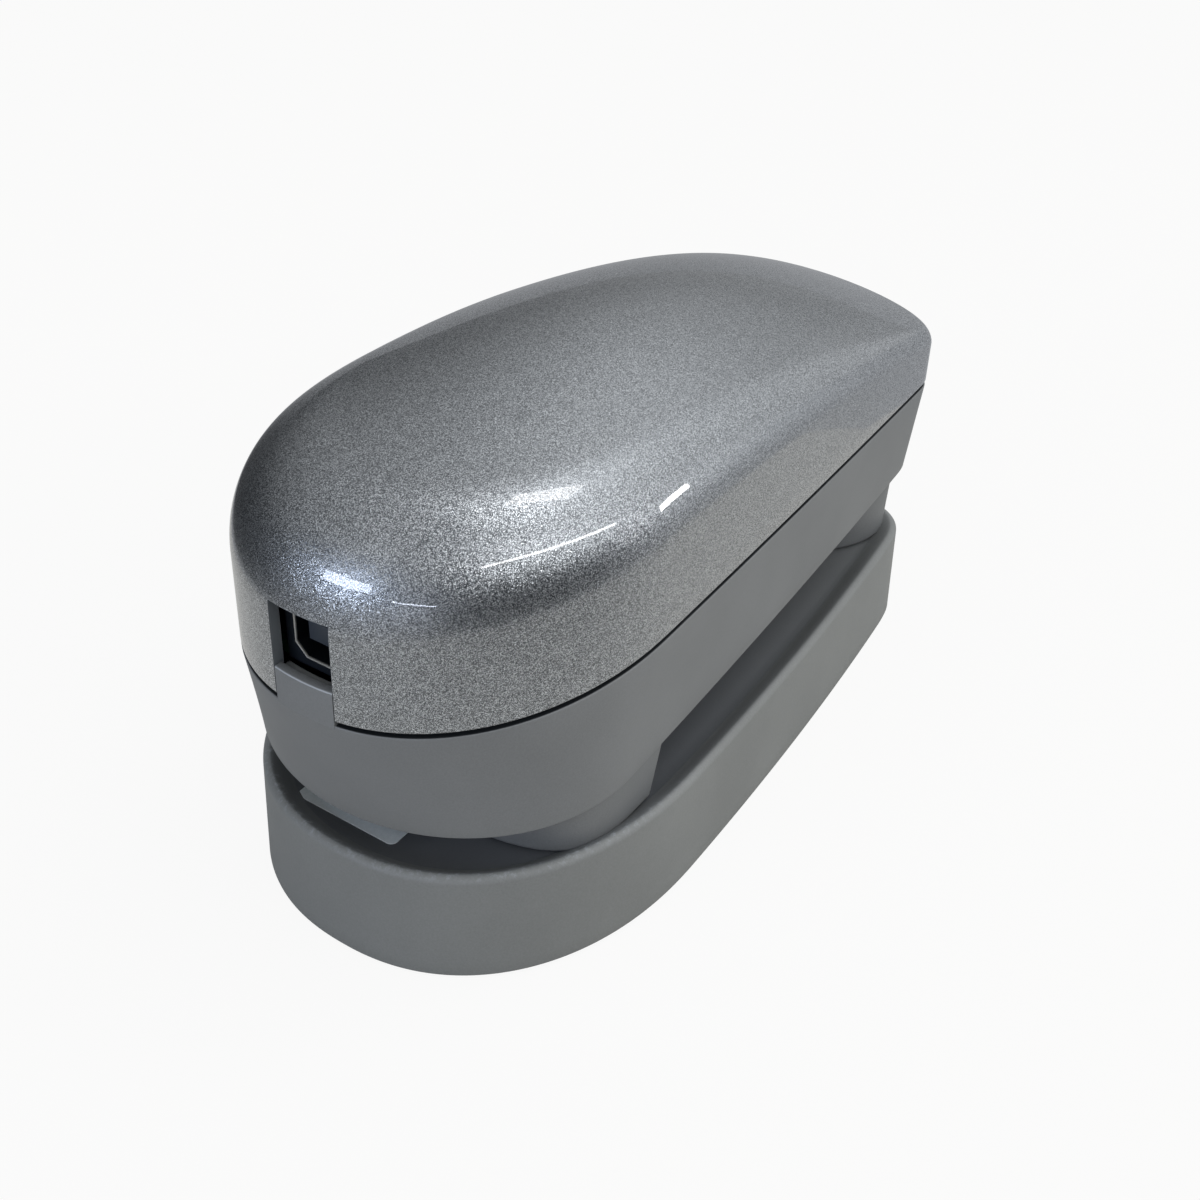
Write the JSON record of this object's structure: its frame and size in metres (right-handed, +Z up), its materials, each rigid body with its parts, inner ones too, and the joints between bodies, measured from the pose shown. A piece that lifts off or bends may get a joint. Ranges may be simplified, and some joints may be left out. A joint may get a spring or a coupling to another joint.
{
  "type": "handheld spectrophotometer",
  "caption": "Handheld spectrophotometer with a domed cover, a thumb button and a square USB socket, parked on an oval calibration base with a white tile under its measuring head.",
  "frame": {"origin": "middle of the footprint, on the surface that the base stands on", "axes": "+X towards the measuring end, +Y towards the side with the thumb button, +Z up"},
  "size_m": [0.151, 0.0746, 0.0859],
  "materials": {
    "base_shell": "fine moulded texture",
    "base_plate": "moulded black",
    "base_feet": "soft rubber",
    "base_screws": "zinc plated",
    "white_tile": "glazed white ceramic",
    "tile_ring": "moulded black",
    "top_cover": "silver flake paint under clear coat",
    "lower_housing": "fine moulded texture",
    "rear_foot": "fine moulded texture",
    "rear_glides": "low-friction plastic",
    "measuring_head": "fine moulded texture",
    "aperture_plate": "black anodised",
    "head_window": "polished",
    "ring_mirror": "polished",
    "lens_barrel": "black anodised",
    "objective_lens": "polished",
    "lamp_bulb": "clear",
    "lamp_holder": "ceramic-filled",
    "fold_mirror": "polished",
    "optics_block": "black anodised",
    "optics_lid": "black anodised",
    "slit_plate": "etched",
    "grating": "ruled mirror coat",
    "detector_array": "moulded",
    "detector_board": "solder mask",
    "flex_cable": "polyimide film",
    "main_board": "solder mask",
    "board_parts": "moulded",
    "usb_body": "moulded black",
    "usb_liner": "tin plated",
    "usb_tongue": "moulded",
    "usb_contacts": "gold plated",
    "housing_screws": "zinc plated",
    "board_screws": "zinc plated",
    "optics_screws": "zinc plated",
    "switch_board": "solder mask",
    "tact_switch": "moulded",
    "switch_screws": "zinc plated",
    "button_spring": "spring wire",
    "measure_button": "fine moulded texture"
  },
  "bodies": {
    "base": {"base_shell": "base_shell", "base_plate": "base_plate", "base_feet": "base_feet", "base_screws": "base_screws", "white_tile": "white_tile", "tile_ring": "tile_ring"},
    "instrument": {"top_cover": "top_cover", "lower_housing": "lower_housing", "rear_foot": "rear_foot", "rear_glides": "rear_glides", "measuring_head": "measuring_head", "aperture_plate": "aperture_plate", "head_window": "head_window", "ring_mirror": "ring_mirror", "lens_barrel": "lens_barrel", "objective_lens": "objective_lens", "lamp_bulb": "lamp_bulb", "lamp_holder": "lamp_holder", "fold_mirror": "fold_mirror", "optics_block": "optics_block", "optics_lid": "optics_lid", "slit_plate": "slit_plate", "grating": "grating", "detector_array": "detector_array", "detector_board": "detector_board", "flex_cable": "flex_cable", "main_board": "main_board", "board_parts": "board_parts", "usb_body": "usb_body", "usb_liner": "usb_liner", "usb_tongue": "usb_tongue", "usb_contacts": "usb_contacts", "housing_screws": "housing_screws", "board_screws": "board_screws", "optics_screws": "optics_screws", "switch_board": "switch_board", "tact_switch": "tact_switch", "switch_screws": "switch_screws", "button_spring": "button_spring"},
    "button": {"measure_button": "measure_button"}
  },
  "joints": [
    {"name": "lift_off", "type": "slide", "parent": "base", "child": "instrument", "axis": [0, 0, 1], "range_m": [0, 0.07]},
    {"name": "button_press", "type": "slide", "parent": "instrument", "child": "button", "axis": [0, -1, 0], "range_m": [0, 0.0008], "stiffness_N_per_m": 1200, "deforming": ["button_spring"]}
  ]
}
